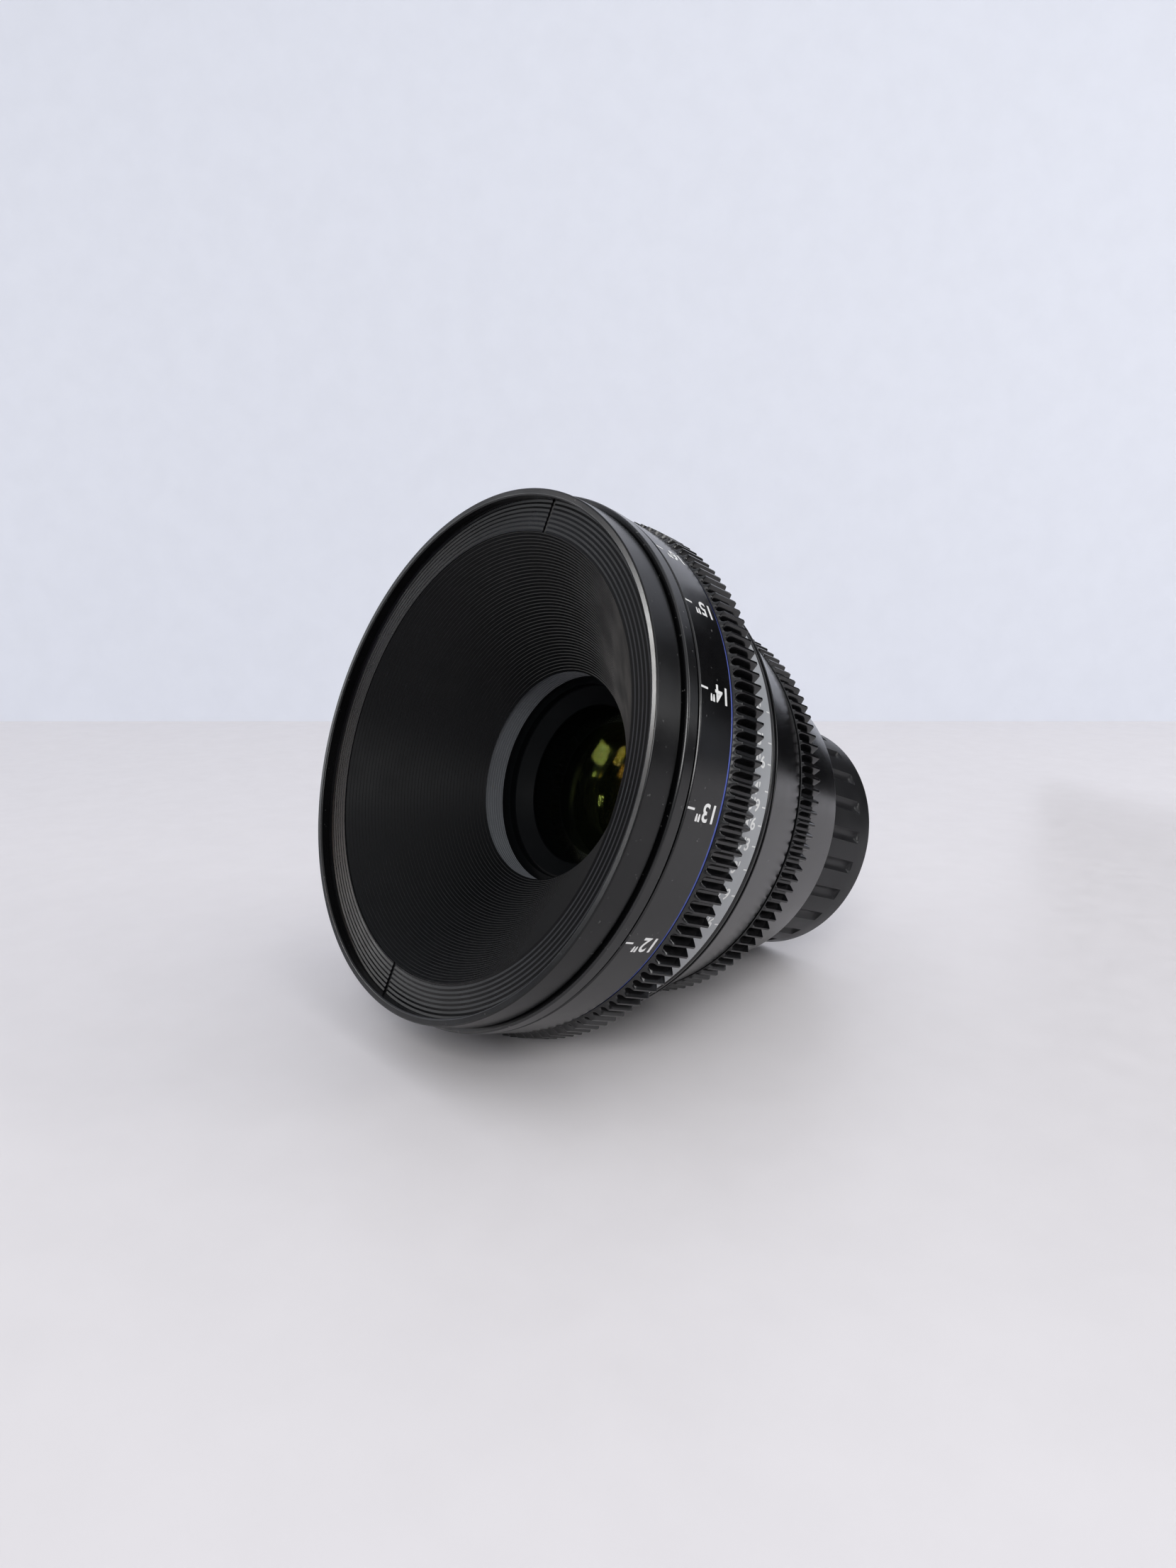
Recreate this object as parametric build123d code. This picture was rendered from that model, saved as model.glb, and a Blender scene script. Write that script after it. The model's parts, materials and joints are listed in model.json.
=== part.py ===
from build123d import *
from math import atan, cos, degrees, pi, radians, sin, sqrt, tan
import os

# Millimetres. The lens is built along +Y, front rim at zero, and laid down at the end.
# Profiles are (station behind the front rim, radius). Angles turn about the lens axis,
# zero towards +X and 90 towards +Z.

# Steps and walls between neighbouring radii
front_rim_width = 3.0
ledge_width = 5.5
collar_step = 1.1
flange_step = 0.9
focus_step = 0.1
focus_taper = 0.55
trim_recess = 0.45
gear_inset = 0.4
gear_wall = 2.6
scale_step = 2.0
scale_taper = 0.6
index_step = 0.1
iris_step_down = 1.3
iris_taper = 5.6
iris_gear_inset = 0.2
iris_wall = 1.4
journal_step = 1.5
journal_wall = 3.3
sleeve_wall = 2.3
carriage_wall = 1.6
barrel_step = 3.0
barrel_wall = 2.5
rear_barrel_step = 1.0
rear_barrel_flare = 4.9
rear_barrel_wall = 2.4
rear_barrel_lip = 4.5
retaining_wall = 3.1
cell_wall = 1.6
trap_step = 0.4
waist_wall = 7.0
housing_wall = 2.5
tail_wall = 2.6
tail_clearance = 2.1
mount_tube_wall = 2.4
mount_flange_width = 9.6
mount_lug_height = 1.5
cap_step = 1.5
running_gap = 0.05
body_gap = 0.3

# Glass, as (front, rear, front curve, rear curve, front clear, rear clear, edge)
first_element = (35.6, 37.6, 90.0, 26.0, 18.9, 16.8, 19.8)
second_element = (45.6, 47.2, 50.0, 17.0, 15.5, 11.5, 16.3)
third_element = (50.5, 56.5, 30.0, -35.0, 12.5, 12.0, 13.0)
fourth_element = (65.8, 70.5, 28.0, -40.0, 10.5, 11.0, 11.5)
fifth_element = (72.0, 73.2, -25.0, 30.0, 10.5, 10.8, 11.5)
sixth_element = (77.2, 81.5, -60.0, -24.0, 13.5, 13.5, 14.2)
seventh_element = (82.4, 87.2, 60.0, -50.0, 13.4, 13.4, 14.8)


def edge(glass):
    """The radius of an element's rim."""
    return glass[-1]


def front_clear(glass):
    """The radius of the polished part in front."""
    return glass[4]


def rear_clear(glass):
    """The radius of the polished part behind."""
    return glass[5]



# Stations of the outside
clamp_band_rear = 5.0
collar_front = 6.8
collar_rear = 9.8
focus_front = 10.2
focus_band_rear = 19.8
trim_width = 0.8
focus_gear_rear = 28.4
scale_rear = 38.8
index_front = 39.1
index_rear = 41.0
iris_cone_rear = 57.9
iris_gear_front = 58.0
iris_gear_rear = 64.6
rear_barrel_front = 65.3
flange_plane = 85.5
flange_stand = 0.6
cap_length = 24.3

# Stations of the inside
ledge_front = 2.4
baffle_front = 2.8
ledge_rear = 4.2
seat_station = 5.5
journal_front = 16.0
baffle_rear = 26.0
carriage_rear = 38.5
iris_station = 59.0
barrel_rear = 66.0

# Radii of the outside, from the front band's, which is a standard size. The gears take the
# whole number of teeth that comes nearest.
front_radius = 57.0
gear_module = 0.8
gear_pressure_angle = 20.0
front_bore = front_radius - front_rim_width
collar_radius = front_radius + collar_step
focus_front_radius = collar_radius - focus_step
focus_band_rear_radius = focus_front_radius - focus_taper
trim_radius = focus_band_rear_radius - trim_recess
focus_teeth = round(2 * (focus_front_radius - gear_inset) / gear_module)
focus_pitch_radius = gear_module * focus_teeth / 2
focus_gear_bore = focus_pitch_radius - gear_wall
scale_front_radius = focus_gear_bore - scale_step
scale_rear_radius = scale_front_radius - scale_taper
index_radius = scale_rear_radius - index_step
iris_front_radius = index_radius - iris_step_down
iris_cone_rear_radius = iris_front_radius - iris_taper
iris_teeth = round(2 * (iris_cone_rear_radius - iris_gear_inset) / gear_module)
iris_pitch_radius = gear_module * iris_teeth / 2

# Radii of the inside
baffle_front_radius = front_bore - ledge_width
journal_outer = scale_rear_radius - journal_step
journal_inner = journal_outer - journal_wall
sleeve_outer = journal_inner - body_gap
carriage_outer = sleeve_outer - sleeve_wall
carriage_inner = carriage_outer - carriage_wall
iris_journal = iris_cone_rear_radius - iris_wall
barrel_tail = iris_journal - barrel_step
barrel_bore = barrel_tail - barrel_wall
iris_sleeve_outer = barrel_tail + carriage_wall
retaining_outer = edge(first_element) + retaining_wall
cell_outer = retaining_outer + cell_wall
baffle_rear_radius = cell_outer - trap_step
baffle_wall = 1.74
baffle_clearance = 0.8
cell_waist = edge(third_element) + waist_wall

# Radii of the rear end
rear_cell_tail = edge(seventh_element) + tail_wall
mount_bore = rear_cell_tail + tail_clearance
mount_tube_radius = mount_bore + mount_tube_wall
mount_lug_radius = mount_tube_radius + mount_lug_height
mount_flange_radius = mount_tube_radius + mount_flange_width
rear_barrel_rear = flange_plane - flange_stand
rear_barrel_front_radius = barrel_tail + rear_barrel_step
rear_barrel_rear_radius = mount_flange_radius + rear_barrel_flare
cap_radius = mount_flange_radius - cap_step
cap_rear = flange_plane + cap_length

# Iris and travels
blade_count = 10
blade_thickness = 0.15
blade_level = 0.25
post_clearance = 1.8
blade_width = 3.8
housing_bore = cell_waist - housing_wall
blade_pivot = housing_bore - housing_wall
blade_outer = blade_pivot - post_clearance
blade_inner = blade_outer - blade_width
blade_turn = 29.0
iris_turn = 80.0
focus_turn = 300.0
focus_travel = 1.15
drive_angle = 150.0
cap_travel = 6.0

# Teeth
lowest_angle = -90.0
root_depth_share = 1.25
focus_tip = focus_pitch_radius + gear_module
iris_tip = iris_pitch_radius + gear_module
tooth_root_depth = root_depth_share * gear_module
gear_chamfer = gear_module / 2
overrun = 1.0


def ring(points):
    """A full turn about the lens axis of a profile of (station, radius) points."""
    return revolve(make_face(Polyline(*[(r, s) for s, r in points], close=True)), Axis.Y)


def tube(front, rear, inner, outer):
    """A plain tube between two stations."""
    return ring([(front, inner), (front, outer), (rear, outer), (rear, inner)])


def across(face, front, rear):
    """A solid of one section between two stations."""
    return extrude(Plane.XZ.offset(-rear) * face, amount=rear - front)


def at_angle(solid, angle):
    """The solid turned about the lens axis."""
    return Rot(0, -angle, 0) * solid


def place(radius, angle):
    """A point of a section."""
    return (radius * cos(radians(angle)), radius * sin(radians(angle)))


def sector(inner, outer, start, sweep):
    """The face between two radii over a stretch of angle."""
    end = start + sweep
    return make_face(
        Curve()
        + [
            CenterArc((0, 0), outer, start, sweep),
            Line(place(outer, end), place(inner, end)),
            CenterArc((0, 0), inner, start, sweep),
            Line(place(inner, start), place(outer, start)),
        ]
    )


def radial_rod(radius, station, inner, outer, angle):
    """A round rod that points at the lens axis."""
    rod = Rot(0, 90, 0) * Cylinder(radius, outer - inner)
    return at_angle(Pos((inner + outer) / 2, station, 0) * rod, angle)


def axial_rod(radius, front, rear, distance, angle):
    """A round rod along the lens axis at a distance from it."""
    rod = Rot(90, 0, 0) * Cylinder(radius, rear - front)
    return at_angle(Pos(distance, (front + rear) / 2, 0) * rod, angle)


def gear_ring(teeth, bore, front, rear, front_chamfer, first_angle):
    """A follow-focus gear of straight-sided teeth, bevelled at both ends."""
    pitch = 360 / teeth
    pitch_radius = gear_module * teeth / 2
    tip = pitch_radius + gear_module
    root = pitch_radius - tooth_root_depth
    slope = tan(radians(gear_pressure_angle))
    half_pitch_width = gear_module * pi / 4
    half_tip = degrees((half_pitch_width - gear_module * slope) / tip)
    half_root = degrees((half_pitch_width + tooth_root_depth * slope) / root)
    points = []
    for tooth in range(teeth):
        centre = first_angle + tooth * pitch
        points += [
            place(root, centre - half_root),
            place(tip, centre - half_tip),
            place(tip, centre + half_tip),
            place(root, centre + half_root),
        ]
    blank = across(make_face(Polyline(*points, close=True)), front, rear)
    turned = ring(
        [
            (front, bore),
            (front, tip - front_chamfer),
            (front + front_chamfer, tip),
            (rear - gear_chamfer, tip),
            (rear, tip - gear_chamfer),
            (rear, bore),
        ]
    )
    return blank & turned


def sag(curve, radius):
    """How far a lens surface lies behind its own middle at a radius."""
    sign = 1 if curve > 0 else -1
    return curve - sign * sqrt(curve**2 - radius**2)


def element(front, rear, front_curve, rear_curve, front_half, rear_half, rim):
    """A glass element; a curve is positive when its centre lies behind the surface."""
    front_rim = front + sag(front_curve, front_half)
    rear_rim = rear + sag(rear_curve, rear_half)
    face = make_face(
        Curve()
        + [
            ThreePointArc(
                (0, front),
                (front_half / 2, front + sag(front_curve, front_half / 2)),
                (front_half, front_rim),
            ),
            Line((front_half, front_rim), (rim, front_rim)),
            Line((rim, front_rim), (rim, rear_rim)),
            Line((rim, rear_rim), (rear_half, rear_rim)),
            ThreePointArc(
                (rear_half, rear_rim),
                (rear_half / 2, rear + sag(rear_curve, rear_half / 2)),
                (0, rear),
            ),
            Line((0, rear), (0, front)),
        ]
    )
    return revolve(face, Axis.Y)


# Carriage: the front end and the optics, which slide without turning
carriage_flange_radius = front_bore + flange_step
carriage_flange_rear = 9.6
cell_mount_front = 31.9
cell_mount_rear = 35.0
cell_front = 33.0
cell_step = 50.0
retaining_front = 34.4
key_width = 4.0
key_front = 34.0
key_angles = (0, 180)
spanner_slot_angle = 82.0
baffle_fall = (baffle_front_radius - baffle_rear_radius) / (baffle_rear - baffle_front)


def front_ring():
    lip = 0.8
    cove = 1.0
    return ring(
        [
            (0, front_bore + lip),
            (0, front_radius - lip),
            (lip, front_radius),
            (clamp_band_rear, front_radius),
            (clamp_band_rear + lip, front_radius - cove),
            (collar_front, front_radius - cove),
            (collar_front, carriage_flange_radius),
            (seat_station, carriage_flange_radius),
            (seat_station, front_bore),
            (lip, front_bore),
        ]
    )


def front_collar():
    bevel = 0.4
    return ring(
        [
            (collar_front, carriage_flange_radius),
            (collar_front, collar_radius - bevel),
            (collar_front + bevel, collar_radius),
            (collar_rear, collar_radius),
            (collar_rear, carriage_flange_radius),
        ]
    )


def baffle_radius(station):
    """The inner face of the cone."""
    return baffle_front_radius - baffle_fall * (station - baffle_front)


def baffle_retaining_ring():
    slot_width = 2.0
    slot_depth = 0.8
    body = tube(ledge_front, ledge_rear, baffle_front_radius, front_bore)
    slot = Box(2 * front_radius, 2 * slot_depth, slot_width)
    return body - at_angle(Pos(0, ledge_front, 0) * slot, spanner_slot_angle)


def baffle_cone():
    return ring(
        [
            (ledge_rear, baffle_radius(ledge_rear)),
            (ledge_rear, front_bore),
            (seat_station, front_bore),
            (seat_station, baffle_radius(seat_station) + baffle_wall),
            (baffle_rear, baffle_rear_radius + baffle_wall),
            (baffle_rear, baffle_rear_radius),
        ]
    )


def light_trap_tube():
    return ring(
        [
            (baffle_rear, baffle_rear_radius),
            (baffle_rear, baffle_rear_radius + baffle_wall),
            (cell_mount_front, baffle_rear_radius + baffle_wall),
            (cell_mount_front, cell_outer),
        ]
    )


def carriage_tube():
    slot_front = key_front - focus_travel - body_gap
    cone_clear = baffle_wall + baffle_clearance
    cone_bore = baffle_radius(seat_station) + cone_clear
    cone_rear = seat_station + (cone_bore - carriage_inner) / baffle_fall
    body = ring(
        [
            (seat_station, cone_bore),
            (seat_station, carriage_flange_radius),
            (carriage_flange_rear, carriage_flange_radius),
            (carriage_flange_rear, carriage_outer),
            (carriage_rear, carriage_outer),
            (carriage_rear, carriage_inner),
            (cone_rear, carriage_inner),
        ]
    )
    slot_length = carriage_rear + overrun - slot_front
    slot = Box(2 * collar_radius, slot_length, key_width + 2 * running_gap)
    return body - Pos(0, slot_front + slot_length / 2, 0) * slot


def cell_mount_ring():
    return tube(cell_mount_front, cell_mount_rear, cell_outer, carriage_inner)


def front_rim(glass):
    """The station at which a front surface meets its rim."""
    return glass[0] + sag(glass[2], front_clear(glass))


def rear_rim(glass):
    """The station at which a rear surface meets its rim."""
    return glass[1] + sag(glass[3], rear_clear(glass))


def front_retaining_ring():
    land = 0.5
    return ring(
        [
            (retaining_front, retaining_outer),
            (retaining_front, retaining_outer - land),
            (front_rim(first_element) - land, front_clear(first_element)),
            (front_rim(first_element), front_clear(first_element)),
            (front_rim(first_element), retaining_outer),
        ]
    )


def front_cell():
    shoulder = 1.0
    return ring(
        [
            (cell_front, retaining_outer),
            (cell_front, cell_outer),
            (cell_step, cell_outer),
            (cell_step, cell_waist),
            (iris_station, cell_waist),
            (iris_station, edge(third_element) - shoulder),
            (rear_rim(third_element), edge(third_element) - shoulder),
            (rear_rim(third_element), edge(third_element)),
            (front_rim(third_element), edge(third_element)),
            (front_rim(third_element), edge(second_element)),
            (front_rim(second_element), edge(second_element)),
            (front_rim(second_element), edge(first_element)),
            (front_rim(first_element), edge(first_element)),
            (front_rim(first_element), retaining_outer),
        ]
    )


def front_spacer():
    return tube(
        rear_rim(first_element),
        front_rim(second_element),
        edge(second_element),
        edge(first_element),
    )


def middle_spacer():
    return tube(
        rear_rim(second_element),
        front_rim(third_element),
        edge(third_element),
        edge(second_element),
    )


# Iris: housing with pivot posts, ten blades on their own levels, and the cam ring
plate_thickness = 0.8
post_radius = 0.6
blade_ear = 1.5
first_level = iris_station + plate_thickness + blade_level
post_rear = first_level + blade_count * blade_level
cam_front = post_rear + blade_level
cam_thickness = 1.0
cam_rear = cam_front + cam_thickness
cam_gap = 0.2
cam_outer = housing_bore - cam_gap
cam_bore = blade_inner + cam_gap
rear_cell_front = cam_rear + 2 * cam_gap
rear_cell_step = 78.0
rear_cell_rear = 88.6
arm_width = 6.0
fork_clearance = 1.0
fork_depth = 3.3
arm_outer = barrel_bore - fork_clearance
pin_radius = 1.2
pin_inner = arm_outer - fork_depth
iris_pitch_angle = 360 / blade_count
window_margin_angle = 2.0


def iris_housing():
    clear = degrees(arm_width / 2 / housing_bore) + window_margin_angle
    body = ring(
        [
            (iris_station, blade_inner - running_gap),
            (iris_station, cell_waist),
            (rear_cell_front, cell_waist),
            (rear_cell_front, housing_bore),
            (iris_station + plate_thickness, housing_bore),
            (iris_station + plate_thickness, blade_inner - running_gap),
        ]
    )
    window = sector(
        housing_bore - overrun,
        cell_waist + overrun,
        drive_angle - clear,
        iris_turn + 2 * clear,
    )
    body -= across(window, cam_front - blade_level, rear_cell_front + overrun)
    for blade in range(blade_count):
        body += axial_rod(
            post_radius,
            iris_station + plate_thickness,
            post_rear,
            blade_pivot,
            blade * iris_pitch_angle,
        )
    return body


def iris_blade(number):
    arc = 108.0
    neck = blade_pivot - blade_inner - blade_ear
    face = sector(blade_inner, blade_outer, 0, arc)
    face += Pos(blade_pivot - neck / 2, 0) * Rectangle(neck, 2 * blade_ear)
    face += Pos(blade_pivot, 0) * Circle(blade_ear)
    face -= Pos(blade_pivot, 0) * Circle(post_radius + running_gap)
    level = first_level + number * blade_level
    blade = across(face, level - blade_thickness / 2, level + blade_thickness / 2)
    return at_angle(blade, number * iris_pitch_angle)


def iris_cam_ring():
    fork_gap = 0.1
    body = tube(cam_front, cam_rear, cam_bore, cam_outer)
    arm_inner = (cam_bore + cam_outer) / 2
    arm = Pos((arm_inner + arm_outer) / 2, 0) * Rectangle(arm_outer - arm_inner, arm_width)
    notch_inner = pin_inner - fork_gap
    notch_length = arm_outer + overrun - notch_inner
    notch = Rectangle(notch_length, 2 * (pin_radius + fork_gap / 2))
    arm -= Pos(notch_inner + notch_length / 2, 0) * notch
    return body + at_angle(across(arm, cam_front, cam_rear), drive_angle)


def rear_cell():
    return ring(
        [
            (rear_cell_front, front_clear(fourth_element)),
            (rear_cell_front, cell_waist),
            (rear_cell_step, cell_waist),
            (rear_cell_step, rear_cell_tail),
            (rear_cell_rear, rear_cell_tail),
            (rear_cell_rear, edge(seventh_element)),
            (front_rim(seventh_element), edge(seventh_element)),
            (front_rim(seventh_element), edge(sixth_element)),
            (front_rim(sixth_element), edge(sixth_element)),
            (front_rim(sixth_element), edge(fourth_element)),
            (front_rim(fourth_element), edge(fourth_element)),
            (front_rim(fourth_element), front_clear(fourth_element)),
        ]
    )


def rear_spacer():
    return tube(
        rear_rim(sixth_element),
        front_rim(seventh_element),
        rear_clear(sixth_element),
        edge(sixth_element),
    )


def rear_retaining_ring():
    return tube(
        rear_rim(seventh_element),
        rear_cell_rear - running_gap,
        rear_clear(seventh_element),
        edge(seventh_element),
    )


# Focus assembly, which turns and drives the helicoid


def focus_ring():
    web_rear = 13.2
    skirt_bore = journal_outer + running_gap
    bevel = 0.4
    return ring(
        [
            (focus_front, sleeve_outer),
            (focus_front, focus_front_radius - bevel),
            (focus_front + bevel, focus_front_radius),
            (focus_band_rear, focus_band_rear_radius),
            (focus_band_rear, focus_gear_bore),
            (focus_gear_rear, focus_gear_bore),
            (focus_gear_rear, skirt_bore),
            (web_rear, skirt_bore),
            (web_rear, sleeve_outer),
        ]
    )


def helicoid_sleeve():
    rear = 36.5
    return tube(focus_front, rear, carriage_outer + running_gap, sleeve_outer)


def blue_trim_ring():
    rear = focus_band_rear + trim_width
    return tube(focus_band_rear, rear, focus_gear_bore, trim_radius)


def focus_gear_ring():
    front = focus_band_rear + trim_width
    first_angle = lowest_angle + 180 / focus_teeth
    chamfer = gear_module + tooth_root_depth
    return gear_ring(
        focus_teeth, focus_gear_bore, front, focus_gear_rear, chamfer, first_angle
    )


def distance_scale_ring():
    return ring(
        [
            (focus_gear_rear, journal_outer + running_gap),
            (focus_gear_rear, scale_front_radius),
            (scale_rear, scale_rear_radius),
            (scale_rear, journal_outer + running_gap),
        ]
    )


# Fixed barrel and mount
iris_step = 56.0
pin_station = (cam_front + cam_rear - focus_travel) / 2
mount_flange_thickness = 2.0
shim_thickness = 0.2
mount_tube_length = 5.5
mount_lug_length = 2.4
screw_bite = 1.3
screw_inset = 4.0
mount_flange_front = flange_plane - mount_flange_thickness
shim_front = mount_flange_front - shim_thickness
mount_rear = flange_plane + mount_tube_length
mount_lug_front = mount_rear - mount_lug_length
seat_front = shim_front - screw_bite
screw_circle = mount_flange_radius - screw_inset
screw_count = 4
first_screw_angle = 45.0
mount_lug_count = 3
mount_lug_sweep = 55.0
mount_lug_angle = 90.0
cap_lug_sweep = 50.0
cap_lug_angle = 150.0
cap_nub_angle = 90.0


def main_barrel():
    slot_width = 2 * pin_radius + 2 * body_gap
    clear = degrees((pin_radius + body_gap) / barrel_bore)
    body = ring(
        [
            (journal_front, journal_inner),
            (journal_front, journal_outer),
            (index_rear, journal_outer),
            (index_rear, iris_journal),
            (iris_step, iris_journal),
            (iris_step, barrel_tail),
            (barrel_rear, barrel_tail),
            (barrel_rear, barrel_bore),
            (index_front, barrel_bore),
            (index_front, journal_inner),
        ]
    )
    slot = sector(
        barrel_bore - overrun,
        barrel_tail + overrun / 2,
        drive_angle - clear,
        iris_turn + 2 * clear,
    )
    return body - across(slot, pin_station - slot_width / 2, pin_station + slot_width / 2)


def index_ring():
    bevel = 0.3
    return ring(
        [
            (index_front, journal_outer),
            (index_front, index_radius - bevel),
            (index_front + bevel, index_radius),
            (index_rear - bevel, index_radius),
            (index_rear, index_radius - bevel),
            (index_rear, journal_outer),
        ]
    )


def guide_keys():
    margin = 0.15
    key = Box(
        carriage_outer - carriage_inner - 2 * margin,
        index_front - key_front,
        key_width,
    )
    middle = Pos((carriage_outer + carriage_inner) / 2, (index_front + key_front) / 2, 0)
    return [at_angle(middle * key, angle) for angle in key_angles]


def rear_barrel():
    front_inner = barrel_bore - rear_barrel_lip
    rear_inner = rear_barrel_rear_radius - rear_barrel_wall
    seat_radius = mount_flange_radius + running_gap
    bore = mount_tube_radius
    body = ring(
        [
            (rear_barrel_front, barrel_tail),
            (rear_barrel_front, rear_barrel_front_radius),
            (rear_barrel_rear, rear_barrel_rear_radius),
            (rear_barrel_rear, seat_radius),
            (shim_front, seat_radius),
            (shim_front, bore),
            (seat_front - overrun, bore),
            (seat_front - overrun, rear_inner),
            (barrel_rear, front_inner),
            (barrel_rear, barrel_tail),
        ]
    )
    return body - mount_screws()


def mount_shim():
    shim = tube(shim_front, mount_flange_front, mount_tube_radius, mount_flange_radius)
    return shim - mount_screws()


def mount_screws():
    head_radius = 1.8
    head = 1.0
    shank_radius = 1.0
    screws = []
    for number in range(screw_count):
        angle = first_screw_angle + number * 360 / screw_count
        shank = axial_rod(
            shank_radius, seat_front, flange_plane - head, screw_circle, angle
        )
        top = axial_rod(head_radius, flange_plane - head, flange_plane, screw_circle, angle)
        screws.append(shank + top)
    return screws


def bayonet_mount():
    body = ring(
        [
            (mount_flange_front, mount_bore),
            (mount_flange_front, mount_flange_radius),
            (flange_plane, mount_flange_radius),
            (flange_plane, mount_tube_radius),
            (mount_rear, mount_tube_radius),
            (mount_rear, mount_bore),
        ]
    )
    root = (mount_tube_radius + mount_bore) / 2
    for number in range(mount_lug_count):
        start = mount_lug_angle - mount_lug_sweep / 2 + number * 360 / mount_lug_count
        lug = sector(root, mount_lug_radius, start, mount_lug_sweep)
        body += across(lug, mount_lug_front, mount_rear)
    return body - mount_screws()


def rear_cap():
    front = flange_plane + body_gap
    side_wall = 4.0
    bore = cap_radius - side_wall
    wall = 2.3
    bevel = 0.8
    flute_count = 24
    flute_radius = 1.6
    flute_offset = 0.6
    smooth_end = 4.8
    flute_rear = cap_rear - smooth_end
    lug_gap = 0.4
    lug_inner = mount_tube_radius + lug_gap
    lug_thickness = 1.8
    lug_front = front + 2 * body_gap
    lug_rear = lug_front + lug_thickness
    body = ring(
        [
            (front, bore),
            (front, cap_radius),
            (cap_rear - bevel, cap_radius),
            (cap_rear, cap_radius - bevel),
            (cap_rear, 0),
            (cap_rear - wall, 0),
            (cap_rear - wall, bore),
        ]
    )
    for number in range(flute_count):
        angle = (number + 0.5) * 360 / flute_count
        body -= axial_rod(
            flute_radius, front - overrun, flute_rear, cap_radius + flute_offset, angle
        )
    for number in range(mount_lug_count):
        start = cap_lug_angle - cap_lug_sweep / 2 + number * 360 / mount_lug_count
        lug = sector(lug_inner, bore + overrun, start, cap_lug_sweep)
        body += across(lug, lug_front, lug_rear)
    nub_station = mount_rear
    nub_radius = 0.9
    nub_height = 0.7
    nub_outer = cap_radius + nub_height
    nub = radial_rod(nub_radius, nub_station, bore + overrun, nub_outer, cap_nub_angle)
    return body + nub


# Iris ring, which turns on the fixed barrel


def iris_ring():
    front = index_rear + body_gap
    body = ring(
        [
            (front, iris_journal + running_gap),
            (front, iris_front_radius),
            (iris_cone_rear, iris_cone_rear_radius),
            (iris_cone_rear, iris_sleeve_outer),
            (iris_gear_rear, iris_sleeve_outer),
            (iris_gear_rear, barrel_tail + running_gap),
            (iris_step + body_gap, barrel_tail + running_gap),
            (iris_step + body_gap, iris_journal + running_gap),
        ]
    )
    return body - iris_drive_pin()


def iris_gear_ring():
    first_angle = lowest_angle + 180 / iris_teeth
    return gear_ring(
        iris_teeth,
        iris_sleeve_outer,
        iris_gear_front,
        iris_gear_rear,
        gear_chamfer,
        first_angle,
    )


def iris_drive_pin():
    outer = iris_sleeve_outer - running_gap
    return radial_rod(pin_radius, pin_station, pin_inner, outer, drive_angle)


# Laying down: the lens rests on the rear ends of the two gears' lowest teeth
focus_contact = focus_gear_rear - gear_chamfer
iris_contact = iris_gear_rear - gear_chamfer
tilt = degrees(atan((focus_tip - iris_tip) / (iris_contact - focus_contact)))


def all_parts():
    """Every node by name, standing along its own axis."""
    parts = {
        "front_ring": front_ring(),
        "front_collar": front_collar(),
        "baffle_retaining_ring": baffle_retaining_ring(),
        "baffle_cone": baffle_cone(),
        "light_trap_tube": light_trap_tube(),
        "carriage_tube": carriage_tube(),
        "cell_mount_ring": cell_mount_ring(),
        "front_retaining_ring": front_retaining_ring(),
        "front_cell": front_cell(),
        "first_element": element(*first_element),
        "front_spacer": front_spacer(),
        "second_element": element(*second_element),
        "middle_spacer": middle_spacer(),
        "third_element": element(*third_element),
        "iris_housing": iris_housing(),
        "iris_cam_ring": iris_cam_ring(),
        "rear_cell": rear_cell(),
        "fourth_element": element(*fourth_element),
        "fifth_element": element(*fifth_element),
        "sixth_element": element(*sixth_element),
        "rear_spacer": rear_spacer(),
        "seventh_element": element(*seventh_element),
        "rear_retaining_ring": rear_retaining_ring(),
        "focus_ring": focus_ring(),
        "helicoid_sleeve": helicoid_sleeve(),
        "blue_trim_ring": blue_trim_ring(),
        "focus_gear_ring": focus_gear_ring(),
        "distance_scale_ring": distance_scale_ring(),
        "main_barrel": main_barrel(),
        "index_ring": index_ring(),
        "guide_keys": Compound(children=guide_keys()),
        "rear_barrel": rear_barrel(),
        "mount_shim": mount_shim(),
        "bayonet_mount": bayonet_mount(),
        "mount_screws": Compound(children=mount_screws()),
        "rear_cap": rear_cap(),
        "iris_ring": iris_ring(),
        "iris_gear_ring": iris_gear_ring(),
        "iris_drive_pin": iris_drive_pin(),
    }
    for number in range(blade_count):
        parts[f"iris_blade_{number + 1:02d}"] = iris_blade(number)
    return parts


def axis_start(parts):
    """Where the middle of the front rim comes to lie, in the row's frame."""
    outside = ("front_ring", "focus_gear_ring", "iris_gear_ring", "rear_cap")
    boxes = [(Rot(-tilt, 0, 0) * parts[name]).bounding_box() for name in outside]
    low = [min(tuple(box.min)[k] for box in boxes) for k in range(3)]
    high = [max(tuple(box.max)[k] for box in boxes) for k in range(3)]
    return (-(low[0] + high[0]) / 2, -(low[1] + high[1]) / 2, -low[2])


if __name__ == "__main__":
    os.makedirs("parts", exist_ok=True)
    built = all_parts()
    laid = Pos(*axis_start(built)) * Rot(-tilt, 0, 0)
    for name, part in built.items():
        export_step(laid * part, os.path.join("parts", f"{name}.step"))
    print("tilt", round(tilt, 3), "axis starts at", axis_start(built), "nodes", len(built))
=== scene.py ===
import json
from math import cos, degrees, hypot, pi, radians, sin, sqrt, tan

import bpy
from mathutils import Matrix, Vector


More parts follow.
